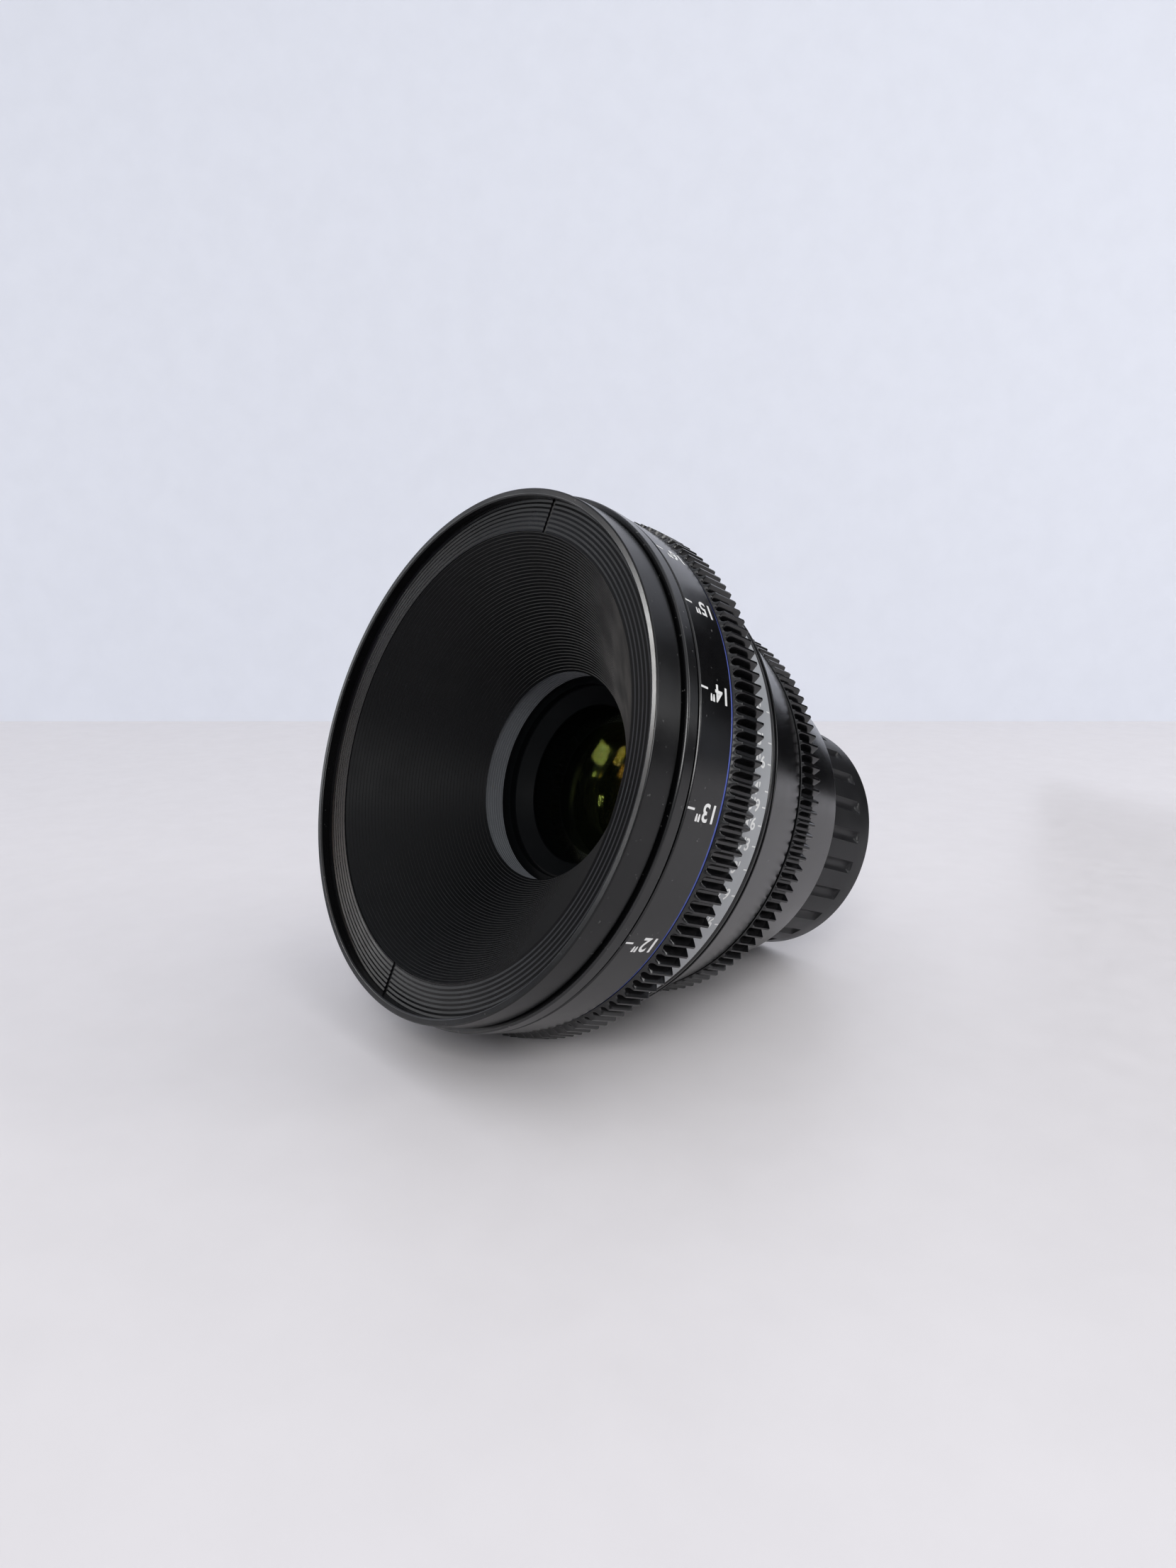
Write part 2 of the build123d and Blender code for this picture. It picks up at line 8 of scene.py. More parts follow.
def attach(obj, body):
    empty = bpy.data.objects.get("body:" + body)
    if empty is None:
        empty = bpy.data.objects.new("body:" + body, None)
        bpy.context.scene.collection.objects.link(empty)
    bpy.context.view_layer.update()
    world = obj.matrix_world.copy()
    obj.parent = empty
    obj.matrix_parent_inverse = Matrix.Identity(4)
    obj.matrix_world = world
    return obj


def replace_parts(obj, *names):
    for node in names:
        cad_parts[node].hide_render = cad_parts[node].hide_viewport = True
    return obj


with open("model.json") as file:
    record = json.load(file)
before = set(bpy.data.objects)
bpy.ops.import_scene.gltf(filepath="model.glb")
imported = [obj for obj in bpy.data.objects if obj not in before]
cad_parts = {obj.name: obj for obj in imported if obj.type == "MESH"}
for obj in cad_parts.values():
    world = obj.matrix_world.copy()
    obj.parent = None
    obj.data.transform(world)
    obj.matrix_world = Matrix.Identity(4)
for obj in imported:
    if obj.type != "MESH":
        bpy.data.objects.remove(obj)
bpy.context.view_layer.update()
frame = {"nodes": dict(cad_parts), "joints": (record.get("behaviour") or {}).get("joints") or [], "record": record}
MM = 0.001

# The lens axis, from the focus joint: stations run rearwards from the rim
focus_joint = next(j for j in frame["joints"] if j["name"] == "focus_turn")
LENS_START = Vector(focus_joint["pos_m"])
REARWARD = -Vector(focus_joint["axis"]).normalized()
ACROSS = Vector((1, 0, 0))
UPWARD = ACROSS.cross(REARWARD)


def on_lens(station, radius, angle):
    """A point by its station and radius in millimetres and its angle in degrees."""
    turn = radians(angle)
    out = ACROSS * cos(turn) + UPWARD * sin(turn)
    return LENS_START + MM * (station * REARWARD + radius * out)


# Materials: noise scales are per metre, and relief is in metres
PLAIN_DETAIL = 3.0
FINE_DETAIL = 2
NOISE_MIDDLE = (0.35, 0.65)
COLOUR_SCALE = 60
GLOSS_SCALE = 140
GLOSS_SPREAD = (0.9, 1.12)
DUST_SCALE = 900
DUST_RANGE = (0.70, 0.76)
DUST_COLOUR = (0.5, 0.5, 0.48)
METAL_GRAIN = 2600
METAL_RELIEF = 0.000006
PLASTIC_GRAIN = 1500
PLASTIC_RELIEF = 0.00002
RELIEF_STRENGTH = 0.5
GLASS_CLEARNESS = (0.8, 0.83, 0.8)
COATING_ROUGHNESS = 0.04
COATING_CLOUD_SCALE = 90
COATING_CLOUD_DIP = 0.8
GLANCING_POWER = 5
GLANCING_SHARE = 0.9
FACING_SHARE = 0.07


def shader(name):
    """A new material with its node tree and its principled shader."""
    made = bpy.data.materials.new(name)
    made.use_nodes = True
    tree = made.node_tree
    return made, tree, tree.nodes["Principled BSDF"]


def feed(tree, value, socket):
    """Gives an input a fixed value or another node's output."""
    if isinstance(value, bpy.types.NodeSocket):
        tree.links.new(value, socket)
    else:
        socket.default_value = value


def noise(tree, scale, detail=PLAIN_DETAIL):
    """A noise texture over the object's own coordinates."""
    place = tree.nodes.new("ShaderNodeTexCoord")
    node = tree.nodes.new("ShaderNodeTexNoise")
    node.inputs["Scale"].default_value = scale
    node.inputs["Detail"].default_value = detail
    tree.links.new(place.outputs["Object"], node.inputs["Vector"])
    return node.outputs["Fac"]


def mapped(tree, value, low, high, stretch=NOISE_MIDDLE):
    """A stretch of the value spread between two limits."""
    node = tree.nodes.new("ShaderNodeMapRange")
    node.inputs["From Min"].default_value, node.inputs["From Max"].default_value = stretch
    node.inputs["To Min"].default_value = low
    node.inputs["To Max"].default_value = high
    tree.links.new(value, node.inputs["Value"])
    return node.outputs["Result"]


def computed(tree, operation, *values):
    """A sum, product or power of numbers and other nodes' outputs."""
    node = tree.nodes.new("ShaderNodeMath")
    node.operation = operation
    for value, socket in zip(values, node.inputs):
        feed(tree, value, socket)
    return node.outputs["Value"]


def blended(tree, share, first, second):
    """A colour between two, each a colour or another node's output."""
    node = tree.nodes.new("ShaderNodeMix")
    node.data_type = "RGBA"
    tree.links.new(share, node.inputs["Factor"])
    for side, colour in (("A", first), ("B", second)):
        fixed = not isinstance(colour, bpy.types.NodeSocket)
        feed(tree, (*colour, 1) if fixed else colour, node.inputs[side])
    return node.outputs["Result"]


def bumped(tree, surface, value, height):
    """A fine relief of the value."""
    node = tree.nodes.new("ShaderNodeBump")
    node.inputs["Strength"].default_value = RELIEF_STRENGTH
    node.inputs["Distance"].default_value = height
    tree.links.new(value, node.inputs["Height"])
    tree.links.new(node.outputs["Normal"], surface.inputs["Normal"])


def coated(
    name,
    colour,
    roughness,
    metallic=0.0,
    grain=METAL_GRAIN,
    relief=METAL_RELIEF,
    dust=0.0,
    mottle=0.1,
    shine=0.5,
):
    """A finish with a fine grain, uneven gloss and, where asked, a few dust specks."""
    made, tree, surface = shader(name)
    surface.inputs["Metallic"].default_value = metallic
    surface.inputs["Specular IOR Level"].default_value = shine
    low = [channel * (1 - mottle) for channel in colour]
    high = [min(1, channel * (1 + mottle)) for channel in colour]
    base = blended(tree, mapped(tree, noise(tree, COLOUR_SCALE), 0, 1), low, high)
    if dust:
        specks = mapped(tree, noise(tree, DUST_SCALE, FINE_DETAIL), 0, dust, DUST_RANGE)
        base = blended(tree, specks, base, DUST_COLOUR)
    tree.links.new(base, surface.inputs["Base Color"])
    low, high = [roughness * limit for limit in GLOSS_SPREAD]
    gloss = mapped(tree, noise(tree, GLOSS_SCALE), low, high)
    tree.links.new(gloss, surface.inputs["Roughness"])
    if relief:
        bumped(tree, surface, noise(tree, grain, FINE_DETAIL), relief)
    return made


def coated_glass(name, tint, strength):
    """Clear glass whose coating throws back one colour of the room."""
    made, tree, surface = shader(name)
    tree.nodes.remove(surface)
    clear = tree.nodes.new("ShaderNodeBsdfTransparent")
    clear.inputs["Color"].default_value = (*GLASS_CLEARNESS, 1)
    mirror = tree.nodes.new("ShaderNodeBsdfGlossy")
    mirror.inputs["Roughness"].default_value = COATING_ROUGHNESS
    cloud = mapped(tree, noise(tree, COATING_CLOUD_SCALE), 0, 1)
    shade = [channel * COATING_CLOUD_DIP for channel in tint]
    tree.links.new(blended(tree, cloud, shade, tint), mirror.inputs["Color"])
    slant = tree.nodes.new("ShaderNodeLayerWeight").outputs["Facing"]
    glancing = computed(tree, "POWER", slant, GLANCING_POWER)
    gain, least = GLANCING_SHARE * strength, FACING_SHARE * strength
    mix = tree.nodes.new("ShaderNodeMixShader")
    tree.links.new(computed(tree, "MULTIPLY_ADD", glancing, gain, least), mix.inputs["Fac"])
    tree.links.new(clear.outputs["BSDF"], mix.inputs[1])
    tree.links.new(mirror.outputs["BSDF"], mix.inputs[2])
    output = tree.nodes["Material Output"]
    tree.links.new(mix.outputs["Shader"], output.inputs["Surface"])
    return made


black_anodised = coated("black_anodised", (0.002, 0.002, 0.0023), 0.2, dust=0.15)
lip_black = coated("lip_black", (0.002, 0.002, 0.0023), 0.24, dust=0.1, shine=0.32)
dull_black = coated("dull_black", (0.0022, 0.0024, 0.0029), 0.45, relief=0.0, shine=0.13)
trap_grey = coated("trap_grey", (0.12, 0.125, 0.135), 0.4, relief=0.0, shine=0.6)
ledge_black = coated("ledge_black", (0.0025, 0.0025, 0.003), 0.3, relief=0.0, shine=0.14)
cell_black = coated("cell_black", (0.002, 0.0024, 0.0028), 0.5, relief=0.0, shine=0.05)
polished_black = coated("polished_black", (0.003, 0.003, 0.0034), 0.18)
grey_scale = coated("grey_scale", (0.33, 0.34, 0.35), 0.36, shine=0.4)
blue_anodised = coated("blue_anodised", (0.08, 0.115, 0.42), 0.3)
cap_plastic = coated(
    "cap_plastic",
    (0.010, 0.010, 0.011),
    0.36,
    grain=PLASTIC_GRAIN,
    relief=PLASTIC_RELIEF,
    shine=0.3,
)
mount_steel = coated("mount_steel", (0.55, 0.55, 0.56), 0.28, metallic=1.0)
plain_aluminium = coated("plain_aluminium", (0.6, 0.6, 0.61), 0.35, metallic=1.0)
helicoid_brass = coated("helicoid_brass", (0.65, 0.5, 0.22), 0.3, metallic=1.0)
white_paint = coated("white_paint", (0.72, 0.72, 0.70), 0.5)
blade_black = coated("blade_black", (0.02, 0.02, 0.02), 0.45)
amber_glass = coated_glass("amber_glass", (1.0, 0.50, 0.10), 0.07)
green_glass = coated_glass("green_glass", (0.72, 0.80, 0.20), 0.045)
# Glass painted opaque and near black: painted shade for the dark inside of the lens seen through clear glass
glass_painted_dark = coated("glass_painted_dark", (0.001, 0.0015, 0.0015), 0.04, relief=0.0, shine=0.3)

BY_SLOT = {
    "black_anodised": black_anodised,
    "dull_black": dull_black,
    "polished_black": polished_black,
    "plain_aluminium": plain_aluminium,
    "helicoid_brass": helicoid_brass,
    "mount_steel": mount_steel,
    # The CAD glass elements get the near-black glass, painted shade of the lens's dark inside
    "optical_glass": glass_painted_dark,
    "blue_anodised": blue_anodised,
    "grey_scale": grey_scale,
    "cap_plastic": cap_plastic,
    "blade_steel": blade_black,
}
SLOT_OF = {part["node"]: part["material_slot"] for part in frame["record"]["subparts"]}
BODY_OF = {
    node: body
    for body, nodes in frame["record"]["behaviour"]["bodies"].items()
    for node in nodes
}
for node, piece in frame["nodes"].items():
    piece.data.materials.clear()
    piece.data.materials.append(BY_SLOT[SLOT_OF[node]])
frame["nodes"]["front_cell"].data.materials[0] = cell_black

# Pieces turned about the lens axis, with bevels in millimetres
SOFT_BEVEL = 0.15
PLAIN_BEVEL = 0.12
CRISP_BEVEL = 0.1
FINE_BEVEL = 0.08
BEVEL_STEPS = 4
LONGEST_SHARE = 0.4
SUPPORT_REACH = 1.2
FLAT_CORNER = 20
SHARP_CORNER = 28
FULL_TURN = 360


def piece_from(name, vertices, faces, finish, body, sharp=SHARP_CORNER):
    """A mesh piece that rides on a body of the frame."""
    mesh = bpy.data.meshes.new(name)
    mesh.from_pydata(vertices, [], faces)
    mesh.shade_smooth()
    mesh.set_sharp_from_angle(angle=radians(sharp))
    mesh.materials.append(finish)
    piece = bpy.data.objects.new(name, mesh)
    bpy.context.scene.collection.objects.link(piece)
    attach(piece, body)
    return piece


def softened(profile, bevel):
    """The closed profile with its corners rounded and a support point beside each."""
    rounded = []
    for index, corner in enumerate(profile):
        here = Vector(corner)
        before = Vector(profile[index - 1]) - here
        after = Vector(profile[(index + 1) % len(profile)]) - here
        if before.angle(-after) < radians(FLAT_CORNER):
            rounded.append(corner)
            continue
        reach = min(bevel, before.length * LONGEST_SHARE, after.length * LONGEST_SHARE)
        start = here + before.normalized() * reach
        end = here + after.normalized() * reach
        rounded.append(tuple(here + before.normalized() * reach * SUPPORT_REACH))
        for step in range(BEVEL_STEPS + 1):
            t = step / BEVEL_STEPS
            point = start * (1 - t) ** 2 + here * (2 * t * (1 - t)) + end * t**2
            rounded.append(tuple(point))
        rounded.append(tuple(here + after.normalized() * reach * SUPPORT_REACH))
    return rounded


def grid_piece(name, columns, finish, body, sharp=SHARP_CORNER):
    """A closed ring from its columns of points, each column one cut through the ring."""
    rows = len(columns[0])
    vertices = [point for column in columns for point in column]
    faces = []
    for c in range(len(columns)):
        nxt = (c + 1) % len(columns)
        for r in range(rows):
            up = (r + 1) % rows
            faces.append((c * rows + r, c * rows + up, nxt * rows + up, nxt * rows + r))
    return piece_from(name, vertices, faces, finish, body, sharp)


def turned(node, profile, finish, bevel=0, segments=FULL_TURN, angles=None, shift=None):
    """A ring that replaces a CAD node; shift moves points of the profile by angle."""
    outline = softened(profile, bevel) if bevel else profile
    angles = angles or [FULL_TURN * k / segments for k in range(segments)]
    columns = []
    for angle in angles:
        column = []
        for station, radius in outline:
            if shift:
                station, radius = shift(station, radius, angle)
            column.append(on_lens(station, radius, angle))
        columns.append(column)
    piece = grid_piece(node + "_shown", columns, finish, BODY_OF[node])
    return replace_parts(piece, node)


# Front end: where its pieces meet, in millimetres
RIM_RADIUS = 57.0
LIP_BORE = 55.4
SEAT_RADIUS = 54.9
SEAT_FRONT = 5.5
GROOVE_RADIUS = 56.2
GROOVE_FRONT = 6.3
COLLAR_FRONT = 6.8
COLLAR_REAR = 9.6
COLLAR_RADIUS = 58.1
LEDGE_FACE = 2.4
LEDGE_REAR = 4.2
LEDGE_BORE = 48.5
LEDGE_RADIUS = 55.35
LEDGE_RIDGES = 7
LEDGE_RIDGE_HEIGHT = 0.07
LEDGE_RIDGE_STEPS = 4
SLOT_ANGLES = (82, 262)
SLOT_WIDTH = 1.0
SLOT_DEPTH = 0.35
SLOT_RADIUS = 51.2
SLOT_SIDE_ANGLE = 0.02
SLOT_MARGIN_ANGLE = 0.1
CONE_START = (2.6, 48.45)
CONE_END = (26.2, 23.95)
CONE_PITCH = 0.8
CONE_RIDGE_HEIGHT = 0.17
CONE_CREST = 0.18
DIAGONAL = 0.7
TRAP_FRONT = 26.3
TRAP_REAR = 31.9
TRAP_BORE = 24.45
TRAP_RADIUS = 25.84
TRAP_PITCH = 0.7
TRAP_DEPTH = 0.18
TRAP_LAND = 0.72
TRAP_BOTTOM = 0.86


def ridged(start, end, pitch, height):
    """Points of a sawtooth surface from one point to another, ridges standing inwards."""
    rise, fall = end[0] - start[0], end[1] - start[1]
    count = max(1, round(hypot(rise, fall) / pitch))
    points = []
    for k in range(count):
        foot, crest = k / count, (k + CONE_CREST) / count
        points.append((start[0] + rise * foot, start[1] + fall * foot))
        top = (start[0] + rise * crest, start[1] + fall * crest)
        points.append((top[0] - height * DIAGONAL, top[1] - height * DIAGONAL))
    points.append(end)
    return points


def grooved(start, end, radius, pitch, depth):
    """Points of a bore with narrow grooves turned into it."""
    count = round((end - start) / pitch)
    step = (end - start) / count
    points = []
    for k in range(count):
        front = start + k * step
        points.append((front, radius))
        points.append((front + TRAP_LAND * step, radius))
        points.append((front + TRAP_BOTTOM * step, radius + depth))
    return points + [(end, radius)]


def slot_half_angle():
    """Half the angle that a spanner slot takes up."""
    return degrees(SLOT_WIDTH / 2 / SLOT_RADIUS)


def ledge_angles():
    """Even angles with extra ones at the edges of the two spanner slots."""
    half = slot_half_angle()
    angles = [k * 1.0 for k in range(FULL_TURN)]
    for middle in SLOT_ANGLES:
        angles = [a for a in angles if abs(a - middle) > half + SLOT_MARGIN_ANGLE]
        for side in (-1, 1):
            angles.append(middle + side * (half + SLOT_SIDE_ANGLE))
            angles.append(middle + side * (half - SLOT_SIDE_ANGLE))
    return sorted(angles)


def ledge_shift(station, radius, angle):
    """Sinks the ledge's face into the spanner slots."""
    inside = any(abs(angle - middle) < slot_half_angle() for middle in SLOT_ANGLES)
    return (max(station, LEDGE_FACE + SLOT_DEPTH) if inside else station), radius


def ledge_face():
    """Points of the ledge's face, with its rounded ridges."""
    count = LEDGE_RIDGES * LEDGE_RIDGE_STEPS
    points = []
    for k in range(count + 1):
        sunk = LEDGE_RIDGE_HEIGHT * (1 - cos(2 * pi * k / LEDGE_RIDGE_STEPS))
        points.append((LEDGE_FACE + sunk, LEDGE_BORE + (LEDGE_RADIUS - LEDGE_BORE) * k / count))
    return points


turned(
    "front_ring",
    [
        (0, 55.7), (0, 56.8), (0.18, RIM_RADIUS), (6.2, RIM_RADIUS), (GROOVE_FRONT, 56.9),
        (GROOVE_FRONT, GROOVE_RADIUS), (COLLAR_FRONT, GROOVE_RADIUS),
        (COLLAR_FRONT, SEAT_RADIUS), (SEAT_FRONT, SEAT_RADIUS), (SEAT_FRONT, LIP_BORE),
        (0.25, LIP_BORE),
    ],
    lip_black,
    CRISP_BEVEL,
)
turned(
    "front_collar",
    [
        (COLLAR_FRONT, SEAT_RADIUS), (COLLAR_FRONT, 57.8), (7.1, COLLAR_RADIUS),
        (9.5, COLLAR_RADIUS), (COLLAR_REAR, 58.0), (COLLAR_REAR, SEAT_RADIUS),
    ],
    black_anodised,
    SOFT_BEVEL,
)
turned(
    "baffle_retaining_ring",
    ledge_face() + [(LEDGE_REAR, LEDGE_RADIUS), (LEDGE_REAR, LEDGE_BORE)],
    ledge_black,
    angles=ledge_angles(),
    shift=ledge_shift,
)
turned(
    "baffle_cone",
    ridged(CONE_START, CONE_END, CONE_PITCH, CONE_RIDGE_HEIGHT)
    + [
        (CONE_END[0], TRAP_RADIUS), (SEAT_FRONT, 47.4), (SEAT_FRONT, 53.9), (4.25, 53.9),
        (4.25, CONE_START[1]),
    ],
    dull_black,
)
turned(
    "light_trap_tube",
    grooved(TRAP_FRONT, TRAP_REAR, TRAP_BORE, TRAP_PITCH, TRAP_DEPTH)
    + [(TRAP_REAR, TRAP_RADIUS), (TRAP_FRONT, TRAP_RADIUS)],
    trap_grey,
)
turned(
    "front_retaining_ring",
    [(34.4, 22.9), (34.4, 22.4), (37.1, 18.9), (37.55, 18.9), (37.55, 22.9)],
    cell_black,
    PLAIN_BEVEL,
)

# Glass that shows, in millimetres
NEAR_AXIS = 0.01
GLASS_STEPS = 24
GLASS_SEGMENTS = 180


def sag(curve, radius):
    """How far a lens surface lies behind its own middle."""
    return curve - (1 if curve > 0 else -1) * sqrt(curve**2 - radius**2)


def glass_surface(middle, curve, clear):
    """Points of a polished surface from the axis outwards."""
    radii = [max(NEAR_AXIS, clear * k / GLASS_STEPS) for k in range(GLASS_STEPS + 1)]
    return [(middle + sag(curve, radius), radius) for radius in radii]


def glass(node, finish, front, rear, front_curve, rear_curve, front_clear, rear_clear, edge):
    """A smooth glass element in place of its CAD node."""
    ahead = glass_surface(front, front_curve, front_clear)
    behind = glass_surface(rear, rear_curve, rear_clear)
    rim = [(ahead[-1][0], edge), (behind[-1][0], edge)]
    turned(node, ahead + rim + behind[::-1], finish, segments=GLASS_SEGMENTS)


glass("first_element", green_glass, 35.6, 37.6, 90, 26, 18.9, 16.8, 19.8)
glass("second_element", amber_glass, 45.6, 47.2, 50, 17, 15.5, 11.5, 16.3)
# The third element is painted near black: painted shade for the dark inside of the lens behind it
glass("third_element", glass_painted_dark, 50.5, 56.5, 30, -35, 12.5, 12.0, 13.0)

# Focus ring and what turns with it: where the pieces meet, in millimetres
FOCUS_FRONT = 10.2
FOCUS_BORE = 47.3
FOCUS_STEP = 13.2
BLUE_FRONT = 19.8
GEAR_FRONT = 20.6
SCALE_FRONT = 28.4
SCALE_REAR = 38.8
GEAR_BORE = 55.0
SCALE_BORE = 50.95
INDEX_FRONT = 39.1
INDEX_REAR = 41.0
INDEX_BORE = 50.9
INDEX_RADIUS = 52.3
INDEX_VALLEY = 51.9

turned(
    "focus_ring",
    [
        (FOCUS_FRONT, FOCUS_BORE), (FOCUS_FRONT, 57.7), (10.45, 58.0), (19.6, 57.45),
        (BLUE_FRONT, 57.25), (BLUE_FRONT, GEAR_BORE), (SCALE_FRONT, GEAR_BORE),
        (SCALE_FRONT, SCALE_BORE), (FOCUS_STEP, SCALE_BORE), (FOCUS_STEP, FOCUS_BORE),
    ],
    black_anodised,
    PLAIN_BEVEL,
)
turned(
    "blue_trim_ring",
    [(BLUE_FRONT, GEAR_BORE), (BLUE_FRONT, 56.95), (GEAR_FRONT, 56.95), (GEAR_FRONT, GEAR_BORE)],
    blue_anodised,
    CRISP_BEVEL,
)
turned(
    "distance_scale_ring",
    [
        (SCALE_FRONT, SCALE_BORE), (SCALE_FRONT, 52.9), (28.6, 53.0), (38.5, 52.4),
        (SCALE_REAR, 52.1), (SCALE_REAR, SCALE_BORE),
    ],
    grey_scale,
    CRISP_BEVEL,
)
turned(
    "index_ring",
    [
        (INDEX_FRONT, INDEX_BORE), (INDEX_FRONT, 52.0), (39.4, INDEX_RADIUS),
        (39.9, INDEX_RADIUS), (40.05, INDEX_VALLEY), (40.3, INDEX_VALLEY),
        (40.45, INDEX_RADIUS), (40.7, INDEX_RADIUS), (INDEX_REAR, 52.0),
        (INDEX_REAR, INDEX_BORE),
    ],
    polished_black,
    FINE_BEVEL,
)

# Iris ring and rear barrel, in millimetres
IRIS_FRONT = 41.3
IRIS_GEAR_FRONT = 58.0
IRIS_REAR = 64.6
IRIS_BORE = 44.05
IRIS_SLEEVE_FRONT = 56.3
IRIS_SLEEVE_BORE = 41.05
IRIS_GEAR_BORE = 42.6
BARREL_FRONT = 65.3
BARREL_STEP = 66.0
BARREL_LIP_RADIUS = 41.0
BARREL_REAR = 84.9
BARREL_REAR_BORE = 31.6
MOUNT_SEAT = 83.3
MOUNT_BORE = 21.9
BARREL_WALL_FRONT = 81.0
BARREL_BORE = 34.0

turned(
    "iris_ring",
    [
        (IRIS_FRONT, IRIS_BORE), (IRIS_FRONT, 50.8), (41.6, 51.0), (57.5, 45.55), (57.9, 45.0),
        (57.9, IRIS_GEAR_BORE), (IRIS_REAR, IRIS_GEAR_BORE), (IRIS_REAR, IRIS_SLEEVE_BORE),
        (IRIS_SLEEVE_FRONT, IRIS_SLEEVE_BORE), (IRIS_SLEEVE_FRONT, IRIS_BORE),
    ],
    black_anodised,
    SOFT_BEVEL,
)
turned(
    "rear_barrel",
    [
        (BARREL_FRONT, BARREL_LIP_RADIUS), (BARREL_FRONT, 41.7), (65.6, 42.0), (84.5, 36.5),
        (BARREL_REAR, 36.1), (BARREL_REAR, BARREL_REAR_BORE), (MOUNT_SEAT, BARREL_REAR_BORE),
        (MOUNT_SEAT, MOUNT_BORE), (BARREL_WALL_FRONT, MOUNT_BORE),
        (BARREL_WALL_FRONT, BARREL_BORE), (BARREL_STEP, BARREL_BORE),
        (BARREL_STEP, BARREL_LIP_RADIUS),
    ],
    black_anodised,
    SOFT_BEVEL,
)

# Gears, in millimetres
GEAR_MODULE = 0.8
PRESSURE_ANGLE = 20
ROOT_DEPTH = 1.25 * GEAR_MODULE
TIP_BEVEL = 0.13
REAR_ROUND = 0.4
GEAR_SHARP_CORNER = 35
FRONT_STEPS = 4
FLANK_STEPS = 8
ROUND_STEPS = 3
LOWEST_ANGLE = -90
FOCUS_TEETH = 144
IRIS_TEETH = 113


def gear_stations(front, rear, front_chamfer):
    """Stations along a tooth, close together on the front bevel and the round rear edge."""
    stations = [front + front_chamfer * k / FRONT_STEPS for k in range(FRONT_STEPS + 1)]
    start, flank = stations[-1], rear - REAR_ROUND - stations[-1]
    stations += [start + flank * k / FLANK_STEPS for k in range(1, FLANK_STEPS + 1)]
    turns = [radians(90 * k / ROUND_STEPS) for k in range(1, ROUND_STEPS + 1)]
    return stations + [rear - REAR_ROUND * (1 - sin(turn)) for turn in turns]


def tooth_points():
    """One tooth's points, each the share of its depth and the millimetres round."""
    slope = tan(radians(PRESSURE_ANGLE))
    half = GEAR_MODULE * pi / 4
    tip_half = half - GEAR_MODULE * slope
    root_half = half + ROOT_DEPTH * slope
    rising = [
        (0, -root_half), (0.5, -(root_half + tip_half) / 2), (1 - TIP_BEVEL, -tip_half),
        (1, -tip_half + TIP_BEVEL),
    ]
    return rising + [(depth, -width) for depth, width in reversed(rising)]


def gear(node, teeth, bore, front, rear, front_chamfer, run_out):
    """A toothed ring with bevelled ends and the cutter's run-out in each valley."""
    pitch_radius = GEAR_MODULE * teeth / 2
    tip = pitch_radius + GEAR_MODULE
    root = pitch_radius - ROOT_DEPTH
    pitch = FULL_TURN / teeth
    cut = []
    for station in gear_stations(front, rear, front_chamfer):
        ahead, behind = station - front, station - rear + REAR_ROUND
        top = tip - max(0, front_chamfer - ahead)
        if behind > 0:
            top -= REAR_ROUND - sqrt(max(0, REAR_ROUND**2 - behind**2))
        floor = root + max(0, 1 - ahead / run_out) ** 2 * (tip - root)
        cut.append((station, min(floor, top), top))
    columns = []
    for tooth in range(teeth):
        for depth, width in tooth_points():
            angle = LOWEST_ANGLE + (tooth + 0.5) * pitch + degrees(width / tip)
            column = [on_lens(front, bore, angle)]
            for station, floor, top in cut:
                column.append(on_lens(station, floor + depth * (top - floor), angle))
            columns.append(column + [on_lens(rear, bore, angle)])
    body, slot = BODY_OF[node], SLOT_OF[node]
    piece = grid_piece(node + "_shown", columns, polished_black, body, GEAR_SHARP_CORNER)
    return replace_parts(piece, node)


gear("focus_gear_ring", FOCUS_TEETH, GEAR_BORE, GEAR_FRONT, SCALE_FRONT, 1.3, 1.7)
gear("iris_gear_ring", IRIS_TEETH, IRIS_GEAR_BORE, IRIS_GEAR_FRONT, IRIS_REAR, 0.5, 1.2)

# Rear cap with its flutes, in millimetres
CAP_FRONT = 85.8
CAP_REAR = 109.8
CAP_RADIUS = 30.0
CAP_BORE = 26.0
CAP_ROUND = 0.8
CAP_ROUND_STEPS = 6
CAP_RECESS = 0.4
CAP_FLOOR_FRONT = CAP_REAR - 2.3
CAP_NEAR_AXIS = 0.05
CAP_SEGMENTS = 480
FLUTES = 24
FLUTE_START = CAP_FRONT + 1
FLUTE_STEPS = 18
FLUTE_REAR = 105.0
FLUTE_RADIUS = 1.6
FLUTE_OFFSET = 0.6
FLUTE_RUN_OUT = 1.2
FLUTE_SKIN = 0.5
RUN_OUT_STEPS = 6


def flute_shift(station, radius, angle):
    """Sinks the outside into a round-bottomed flute."""
    if radius < CAP_RADIUS - FLUTE_SKIN or station > FLUTE_REAR:
        return station, radius
    pitch = FULL_TURN / FLUTES
    away = radians(angle % pitch - pitch / 2) * CAP_RADIUS
    cut = CAP_RADIUS
    if abs(away) < FLUTE_RADIUS:
        cut += FLUTE_OFFSET - sqrt(FLUTE_RADIUS**2 - away**2)
    left = min(1, max(0, FLUTE_REAR - station) / FLUTE_RUN_OUT)
    return station, radius - max(0, radius - cut) * sqrt(1 - (1 - left) ** 2)


